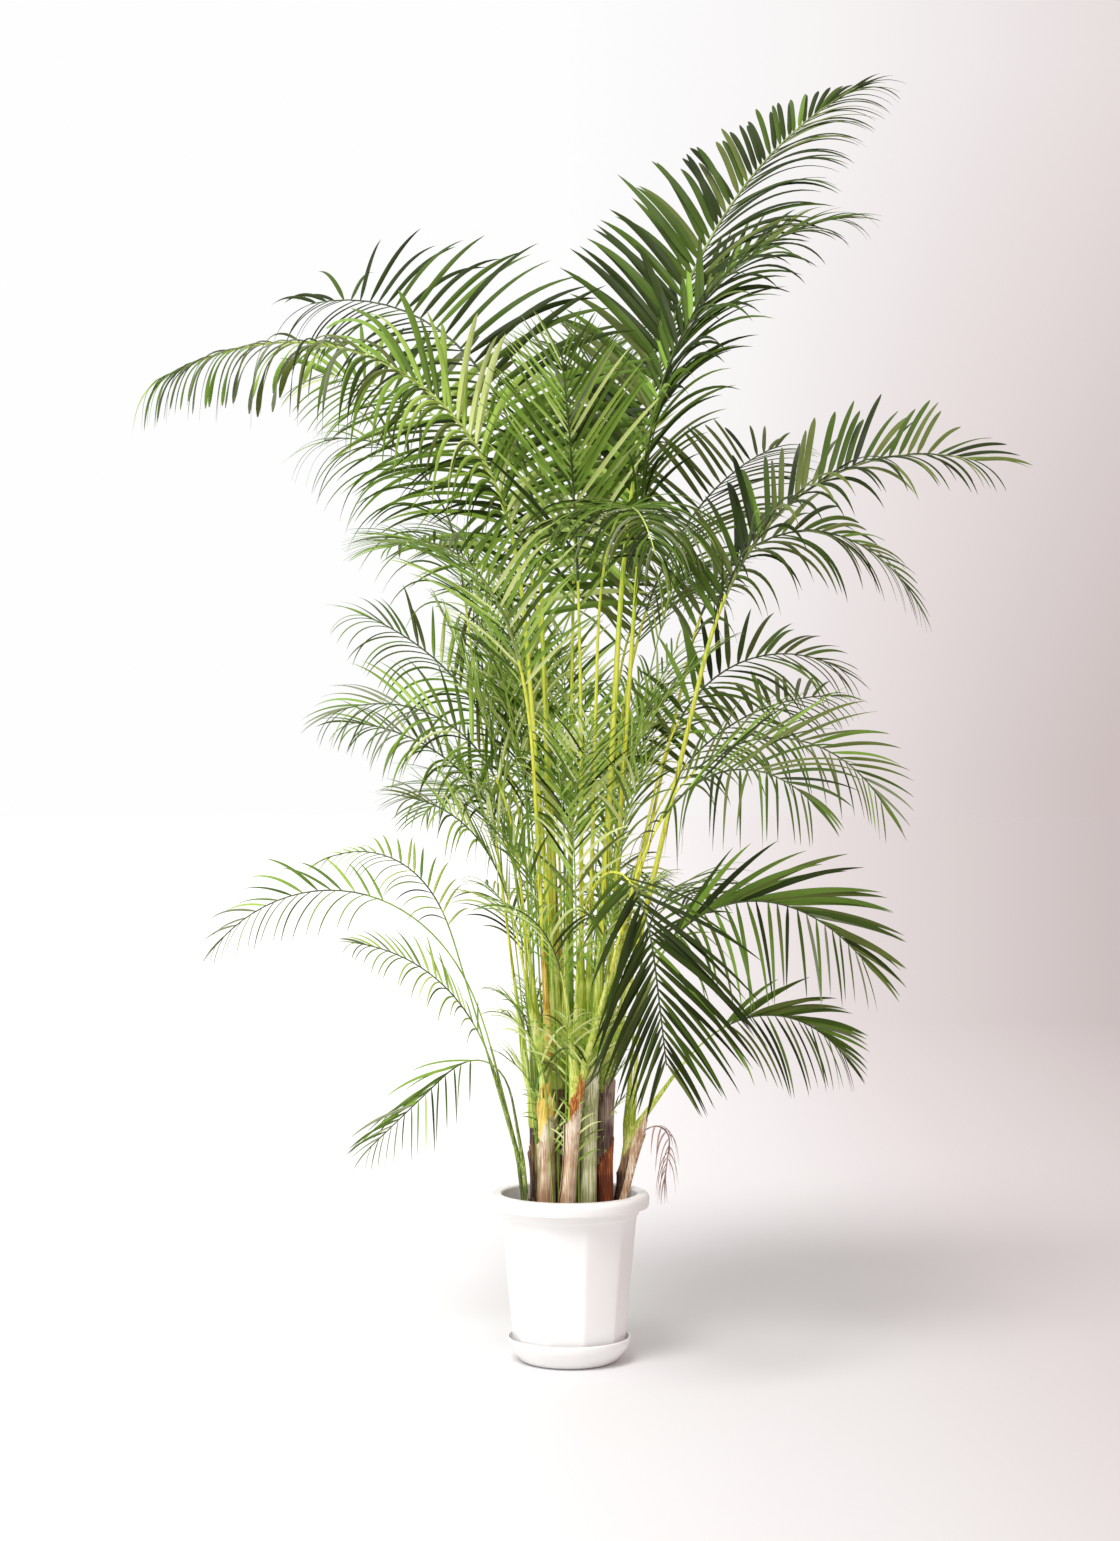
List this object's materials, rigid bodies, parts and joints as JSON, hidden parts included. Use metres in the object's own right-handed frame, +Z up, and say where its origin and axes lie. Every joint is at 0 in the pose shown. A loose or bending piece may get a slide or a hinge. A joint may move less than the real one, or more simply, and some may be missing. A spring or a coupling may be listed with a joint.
{
  "type": "potted areca palm",
  "caption": "A tall clump-forming palm with slender ringed canes and long arching feather fronds, growing in a round white pot that stands in a deep saucer.",
  "frame": {"origin": "Centre of the saucer's flat underside, on the pot's axis.", "axes": "+Z is up along the pot's axis, +X is to the right and +Y to the back as the picture shows the palm."},
  "size_m": [1.6578, 1.364, 2.5052],
  "materials": {
    "pot_white": "smooth satin",
    "potting_mix": "crumbly matt",
    "cane_green": "ringed, waxy",
    "cane_tan": "papery dry sheath",
    "cane_purple": "ringed, waxy",
    "cane_russet": "fibrous sheath",
    "leaf_dark": "satin leaf",
    "leaf_mid": "satin leaf",
    "leaf_bright": "satin leaf",
    "leaf_pale": "satin leaf",
    "leaf_dry": "dry matt leaf"
  },
  "bodies": {
    "root": {"cane_centre": "cane_green", "cane_dry_stub": "cane_tan", "cane_left_back": "cane_purple", "cane_left_front": "cane_tan", "cane_left_low": "cane_green", "cane_left_shoot": "cane_green", "cane_mid_back": "cane_russet", "cane_mid_front": "cane_tan", "cane_mid_left": "cane_purple", "cane_right_back": "cane_purple", "cane_right_front": "cane_green", "cane_right_main": "cane_russet", "cane_right_shoot": "cane_purple", "frond_arch_back_left": "leaf_mid", "frond_arch_back_right": "leaf_mid", "frond_arch_front_left": "leaf_bright", "frond_arch_front_right": "leaf_mid", "frond_arch_right": "leaf_mid", "frond_arch_right_tip": "leaf_mid", "frond_dark_front": "leaf_dark", "frond_dark_front_tip": "leaf_dark", "frond_dry": "leaf_dry", "frond_long_left": "leaf_pale", "frond_long_left_tip": "leaf_pale", "frond_long_right": "leaf_dark", "frond_long_right_tip": "leaf_dark", "frond_low_back_right": "leaf_dark", "frond_low_left_1": "leaf_mid", "frond_low_left_1_tip": "leaf_mid", "frond_low_left_2": "leaf_bright", "frond_low_left_3": "leaf_bright", "frond_low_left_4": "leaf_mid", "frond_low_right": "leaf_dark", "frond_low_right_tip": "leaf_dark", "frond_lowest_right": "leaf_dark", "frond_mid_back": "leaf_mid", "frond_mid_back_left": "leaf_mid", "frond_mid_left_1": "leaf_mid", "frond_mid_left_2": "leaf_mid", "frond_mid_left_3": "leaf_mid", "frond_mid_left_4": "leaf_mid", "frond_mid_right_1": "leaf_mid", "frond_mid_right_2": "leaf_mid", "frond_mid_right_3": "leaf_mid", "frond_mid_right_3_tip": "leaf_mid", "frond_mid_right_4": "leaf_dark", "frond_small_front": "leaf_bright", "frond_tall_back_right": "leaf_mid", "frond_tall_left": "leaf_dark", "frond_tall_left_back": "leaf_bright", "frond_tall_right": "leaf_dark", "frond_tall_right_front": "leaf_dark", "frond_thin_left": "leaf_bright", "frond_upright_back": "leaf_mid", "frond_upright_front": "leaf_bright", "frond_young_back": "leaf_bright", "frond_young_front": "leaf_bright", "pot": "pot_white", "saucer": "pot_white", "soil": "potting_mix"}
  },
  "joints": []
}
